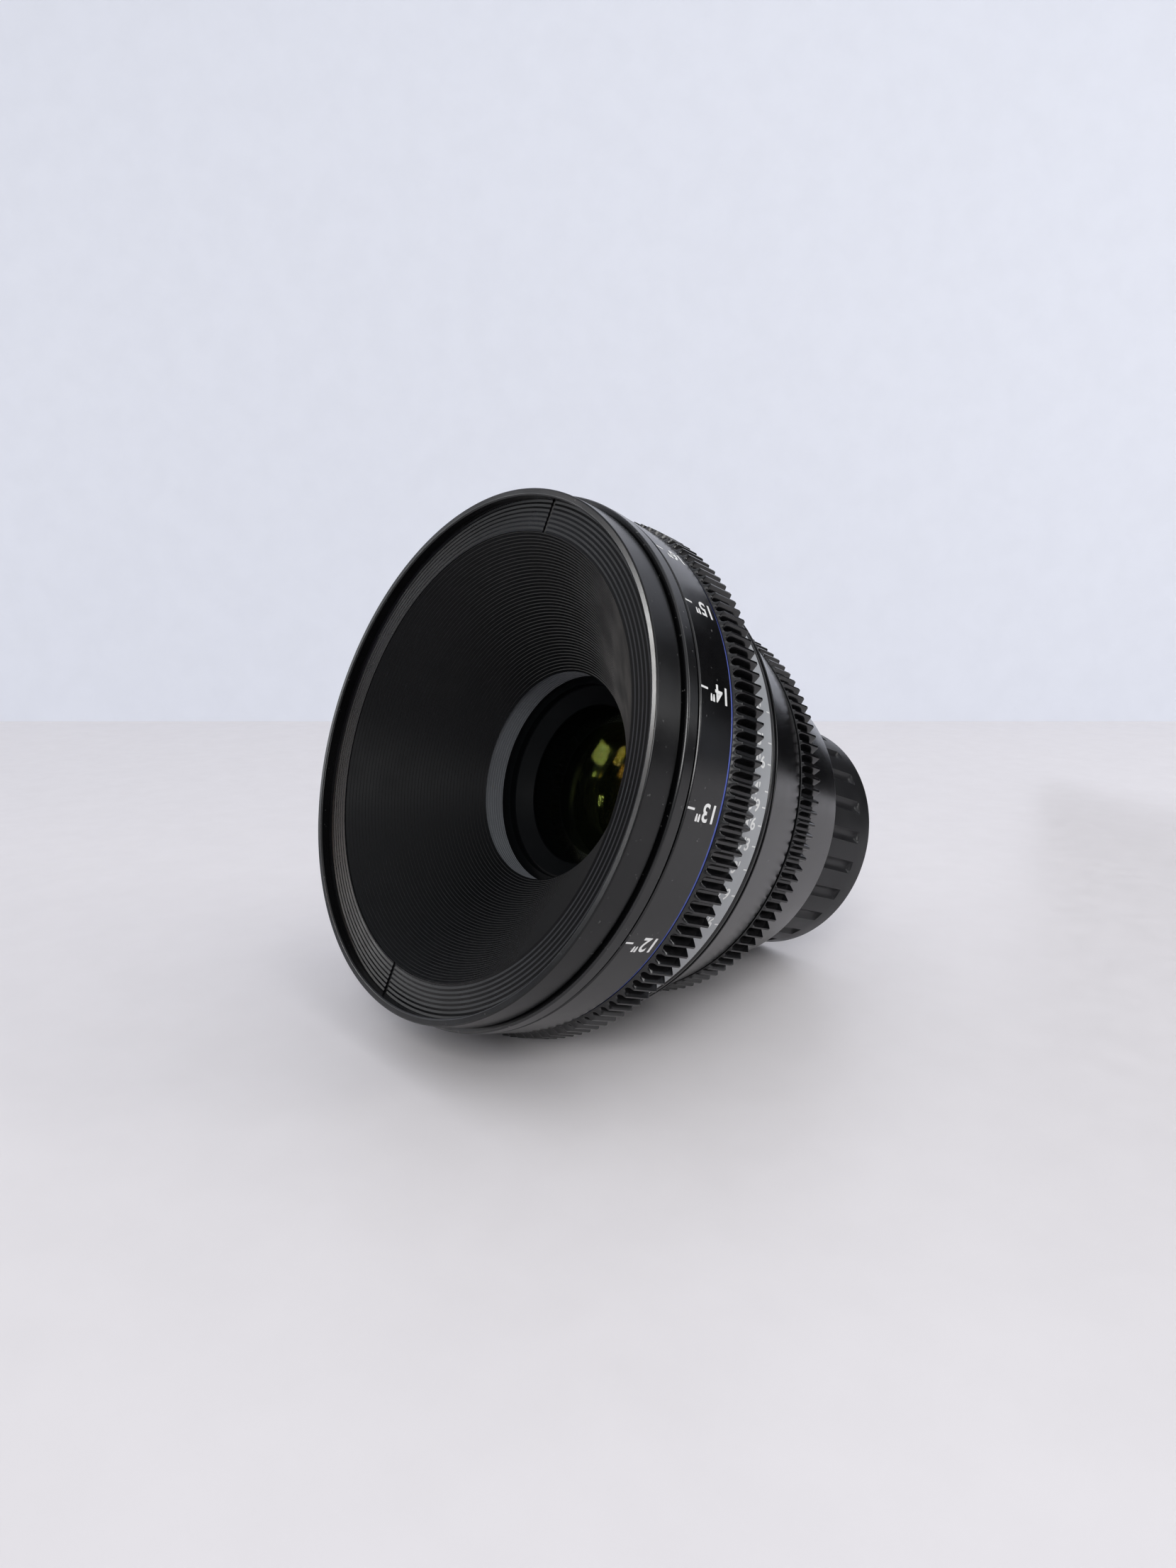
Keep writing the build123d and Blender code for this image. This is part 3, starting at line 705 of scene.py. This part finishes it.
def cap_profile():
    """The cap's cut from its front edge over its outside to its floor's inner face."""
    points = [(CAP_FRONT, CAP_BORE), (CAP_FRONT, 29.7), (CAP_FRONT + 0.3, CAP_RADIUS)]
    points += [(FLUTE_START + k, CAP_RADIUS) for k in range(FLUTE_STEPS)]
    for k in range(RUN_OUT_STEPS + 1):
        points.append((FLUTE_REAR - FLUTE_RUN_OUT * (1 - k / RUN_OUT_STEPS), CAP_RADIUS))
    for k in range(CAP_ROUND_STEPS + 1):
        turn = radians(90 * k / CAP_ROUND_STEPS)
        back, out = CAP_ROUND * sin(turn), CAP_ROUND * cos(turn)
        points.append((CAP_REAR - CAP_ROUND + back, CAP_RADIUS - CAP_ROUND + out))
    recess = CAP_REAR - CAP_RECESS
    points += [(CAP_REAR, 26.5), (recess, CAP_BORE), (recess, CAP_NEAR_AXIS)]
    return points + [(CAP_FLOOR_FRONT, CAP_NEAR_AXIS), (CAP_FLOOR_FRONT, CAP_BORE)]


turned("rear_cap", cap_profile(), cap_plastic, segments=CAP_SEGMENTS, shift=flute_shift)

# Scale marks, in millimetres
MARK_LIFT = 0.035
FIGURE_WEIGHT = 0.02
FIGURE_NARROWING = 0.92
FIGURE_CURVE_STEPS = 4
INCH_TICK = {"station": 10.5, "length": 2.0, "width": 0.42}
INCH_FIGURE = {"size": 4.8, "station": 16.1, "direction": -1}
INCH_SCALE = {"far_angle": 235.6, "spread": 2280, "nearest": 3.33}
INCHES = range(12, 25)
FEET_TICK = {"station": 37.2, "length": 1.1, "width": 0.28}
FEET_FIGURE = {"size": 3.5, "station": 34.4, "direction": 1}
FEET_SCALE = {"far_angle": 62.4, "spread": 2717, "nearest": -1.5}
FEET_AND_INCHES = (
    (2, 6), (2, 9), (3, 0), (3, 3), (3, 6), (3, 9), (4, 0), (4, 6), (5, 0), (6, 0),
)
INDEX_TICK = {"station": 39.45, "length": 0.4, "width": 0.5}
INDEX_ANGLE = 135


def taper(start, end):
    """Gives the radius along a band between two (station, radius) points."""
    fall = (end[1] - start[1]) / (end[0] - start[0])
    return lambda station: start[1] + fall * (station - start[0])


def tick(station, length, width, angle, radius_at):
    """A short line along the lens, laid on a ring."""
    half = degrees(width / 2 / radius_at(station))
    end = station + length
    corners = ((station, -half), (end, -half), (end, half), (station, half))
    points = [on_lens(s, radius_at(s) + MARK_LIFT, angle + turn) for s, turn in corners]
    return points, [(0, 1, 2, 3)]


def figures(text, size, station, direction, angle, radius_at):
    """Figures laid on a ring, reading rearwards for direction 1 and forwards for -1."""
    curve = bpy.data.curves.new("figures", "FONT")
    curve.body = text
    curve.size = size
    curve.align_x = "CENTER"
    curve.align_y = "CENTER"
    curve.offset = FIGURE_WEIGHT * size
    curve.resolution_u = FIGURE_CURVE_STEPS
    holder = bpy.data.objects.new("figures", curve)
    bpy.context.scene.collection.objects.link(holder)
    bpy.context.view_layer.update()
    flat = holder.evaluated_get(bpy.context.evaluated_depsgraph_get())
    mesh = bpy.data.meshes.new_from_object(flat)
    points = []
    for vertex in mesh.vertices:
        along = station + direction * vertex.co.x * FIGURE_NARROWING
        radius = radius_at(along)
        turn = angle + degrees(direction * vertex.co.y / radius)
        points.append(on_lens(along, radius + MARK_LIFT, turn))
    faces = [tuple(polygon.vertices) for polygon in mesh.polygons]
    bpy.data.objects.remove(holder)
    bpy.data.meshes.remove(mesh)
    bpy.data.curves.remove(curve)
    return points, faces


def marks_piece(name, marks, body):
    """All the marks of a body as one painted piece."""
    vertices, faces = [], []
    for points, polygons in marks:
        base = len(vertices)
        vertices += points
        faces += [tuple(base + index for index in polygon) for polygon in polygons]
    return piece_from(name, vertices, faces, white_paint, body)


def scale_angle(inches, far_angle, spread, nearest):
    """Where a distance stands on a scale whose marks close up as they get farther."""
    return far_angle - spread / (inches - nearest)


wide_band = taper((10.35, 58.0), (19.6, 57.45))
grey_band = taper((28.6, 53.0), (38.5, 52.4))
index_edge = taper((39.4, INDEX_RADIUS), (39.9, INDEX_RADIUS))
marks = []
for inches in INCHES:
    angle = scale_angle(inches, **INCH_SCALE)
    marks.append(tick(**INCH_TICK, angle=angle, radius_at=wide_band))
    marks.append(figures(f'{inches}"', **INCH_FIGURE, angle=angle, radius_at=wide_band))
for feet, inches in FEET_AND_INCHES:
    angle = scale_angle(12 * feet + inches, **FEET_SCALE)
    text = f"{feet}'{inches or ''}"
    marks.append(tick(**FEET_TICK, angle=angle, radius_at=grey_band))
    marks.append(figures(text, **FEET_FIGURE, angle=angle, radius_at=grey_band))
marks_piece("distance_marks", marks, "focus_assembly")
index_line = tick(**INDEX_TICK, angle=INDEX_ANGLE, radius_at=index_edge)
marks_piece("index_mark", [index_line], "barrel")

# Camera, as the photo's perspective gives it: its place relative to the front rim's middle
FOCAL_PIXELS = 1521.0
IMAGE_HEIGHT = 2212.0
SENSOR_HEIGHT = 24
NEAREST_SEEN = 0.01
PITCH = radians(11.9)
RIM_IN_VIEW = Vector((-27.27, -7.26, 226.91)) * MM
level_forward = Vector((-0.7654, 0.6434, 0)).normalized()
view_right = Vector((level_forward.y, -level_forward.x, 0))
view_forward = level_forward * cos(PITCH) - Vector((0, 0, 1)) * sin(PITCH)
view_down = view_forward.cross(view_right)
camera_place = LENS_START - (
    view_right * RIM_IN_VIEW.x + view_down * RIM_IN_VIEW.y + view_forward * RIM_IN_VIEW.z
)
camera_data = bpy.data.cameras.new("camera")
camera_data.sensor_fit = "VERTICAL"
camera_data.sensor_height = SENSOR_HEIGHT
camera_data.lens = SENSOR_HEIGHT * FOCAL_PIXELS / IMAGE_HEIGHT
camera_data.clip_start = NEAREST_SEEN
camera = bpy.data.objects.new("camera", camera_data)
camera.matrix_world = Matrix.Translation(camera_place) @ Matrix(
    (view_right, -view_down, -view_forward)
).transposed().to_4x4()
bpy.context.scene.collection.objects.link(camera)
bpy.context.scene.camera = camera

# Room, in metres and degrees
LENS_MIDDLE = Vector((0, 0, 0.06))
WALL_DISTANCE = 0.69
ROOM_HALF_WIDTH = 4
ROOM_DEPTH = 4
WALL_HEIGHT = 3
FLAG_DISTANCE = 0.36
FLAG_TURNS = (93, 142)
FLAG_RISES = (-7, 29)
WINDOW_DISTANCE = 0.8
LAMP_DISTANCE = 1.2
OVERHEAD_HEIGHT = 1.3
OVERHEAD_OFFSET = 0.8
OVERHEAD_SIZE = (1.2, 1.2)
OVERHEAD_POWER = 3.8
DAYLIGHT = (0.97, 0.99, 1.0)
WARM_LIGHT = (1.0, 0.74, 0.58)
WHITE_LIGHT = (1, 1, 1)


def quad(name, corners, finish):
    """A flat piece of the studio."""
    mesh = bpy.data.meshes.new(name)
    mesh.from_pydata(corners, [], [(0, 1, 2, 3)])
    mesh.materials.append(finish)
    piece = bpy.data.objects.new(name, mesh)
    bpy.context.scene.collection.objects.link(piece)
    return piece


def room_place(turn, rise, distance):
    """A place seen from the lens: degrees to the right of the camera and above the table."""
    level = -level_forward * cos(radians(turn)) + view_right * sin(radians(turn))
    lifted = level * cos(radians(rise)) + Vector((0, 0, sin(radians(rise))))
    return LENS_MIDDLE + distance * lifted


table_white = coated("table_white", (0.76, 0.73, 0.732), 0.4, grain=500, mottle=0.01)
wall_white = coated("wall_white", (0.80, 0.825, 0.895), 0.7, grain=400, mottle=0.01)
flag_cloth = coated("flag_cloth", (0.012, 0.012, 0.013), 0.9, shine=0.0)
wall_middle = Vector((camera_place.x, camera_place.y, 0)) + level_forward * WALL_DISTANCE
wall_left = wall_middle - view_right * ROOM_HALF_WIDTH
wall_right = wall_middle + view_right * ROOM_HALF_WIDTH
near = -level_forward * ROOM_DEPTH
up = Vector((0, 0, WALL_HEIGHT))
quad("table", [wall_left + near, wall_right + near, wall_right, wall_left], table_white)
quad("wall", [wall_left, wall_right, wall_right + up, wall_left + up], wall_white)

# A black flag beside the lens, out of the picture, which only reflections meet
flag_corners = []
for side, rise in ((0, 0), (1, 0), (1, 1), (0, 1)):
    away = FLAG_DISTANCE / cos(radians(FLAG_RISES[rise]))
    flag_corners.append(room_place(FLAG_TURNS[side], FLAG_RISES[rise], away))
flag = quad("black_flag", flag_corners, flag_cloth)
flag.visible_camera = flag.visible_diffuse = flag.visible_shadow = False


def area_light(name, place, size, power, colour=WHITE_LIGHT):
    """A lit pane that faces the lens."""
    data = bpy.data.lights.new(name, "AREA")
    data.shape = "RECTANGLE"
    data.size, data.size_y = size
    data.energy = power
    data.color = colour
    lamp = bpy.data.objects.new(name, data)
    lamp.location = place
    lamp.rotation_euler = (LENS_MIDDLE - place).to_track_quat("-Z", "Y").to_euler()
    bpy.context.scene.collection.objects.link(lamp)
    return lamp


def window(name, turn, rise, size, brightness, colour=WHITE_LIGHT, distance=WINDOW_DISTANCE):
    """A pane placed round the lens, of a given brightness whatever its size."""
    power = brightness * pi * size[0] * size[1]
    return area_light(name, room_place(turn, rise, distance), size, power, colour)


# Small bright panes that only reflections meet, and larger soft ones that light the room
for pane in (
    window("window_left_upper", -97, 22, (0.10, 0.08), 46, DAYLIGHT),
    window("window_left_warm", -88, 25, (0.05, 0.08), 40, WARM_LIGHT),
    window("window_left_lower", -88, 11, (0.03, 0.04), 46, DAYLIGHT),
):
    pane.visible_diffuse = False
window("window_left_rear", -108, 9, (0.20, 0.16), 2.0, DAYLIGHT)
window("window_right", 80, 22, (0.20, 0.30), 5.5)
window("room_lamp", -8, 32, (0.45, 0.45), 8.0, distance=LAMP_DISTANCE)
overhead_place = LENS_MIDDLE + Vector((0, 0, OVERHEAD_HEIGHT)) + view_right * OVERHEAD_OFFSET
area_light("overhead", overhead_place, OVERHEAD_SIZE, OVERHEAD_POWER)

# The room's own light: pale above, dimmer towards the right of the camera near the table
ROOM_COLOUR = (0.93, 0.95, 1.0, 1)
ROOM_TOP = 0.85
ROOM_SIDE = 0.4
ROOM_RIGHT = 0.13
RIGHT_FADE = (0.35, 0.75)
HEIGHT_FADE = (0.45, 0.7)
TOP_FADE = (0.1, 0.7)

world = bpy.data.worlds.new("room")
world.use_nodes = True
tree = world.node_tree
background = tree.nodes["Background"]
background.inputs["Color"].default_value = ROOM_COLOUR
direction = tree.nodes.new("ShaderNodeTexCoord").outputs["Generated"]
rightness = tree.nodes.new("ShaderNodeVectorMath")
rightness.operation = "DOT_PRODUCT"
rightness.inputs[1].default_value = tuple(view_right)
tree.links.new(direction, rightness.inputs[0])
height = tree.nodes.new("ShaderNodeSeparateXYZ")
tree.links.new(direction, height.inputs["Vector"])
right_share = mapped(tree, rightness.outputs["Value"], 0, 1, RIGHT_FADE)
low_share = mapped(tree, height.outputs["Z"], 1, 0, HEIGHT_FADE)
top_share = mapped(tree, height.outputs["Z"], 0, 1, TOP_FADE)
plain = computed(tree, "MULTIPLY_ADD", top_share, ROOM_TOP - ROOM_SIDE, ROOM_SIDE)
dim_share = computed(tree, "MULTIPLY", right_share, low_share)
drop = computed(tree, "MULTIPLY", dim_share, ROOM_SIDE - ROOM_RIGHT)
tree.links.new(computed(tree, "SUBTRACT", plain, drop), background.inputs["Strength"])
bpy.context.scene.world = world
bpy.context.scene.view_settings.view_transform = "Standard"
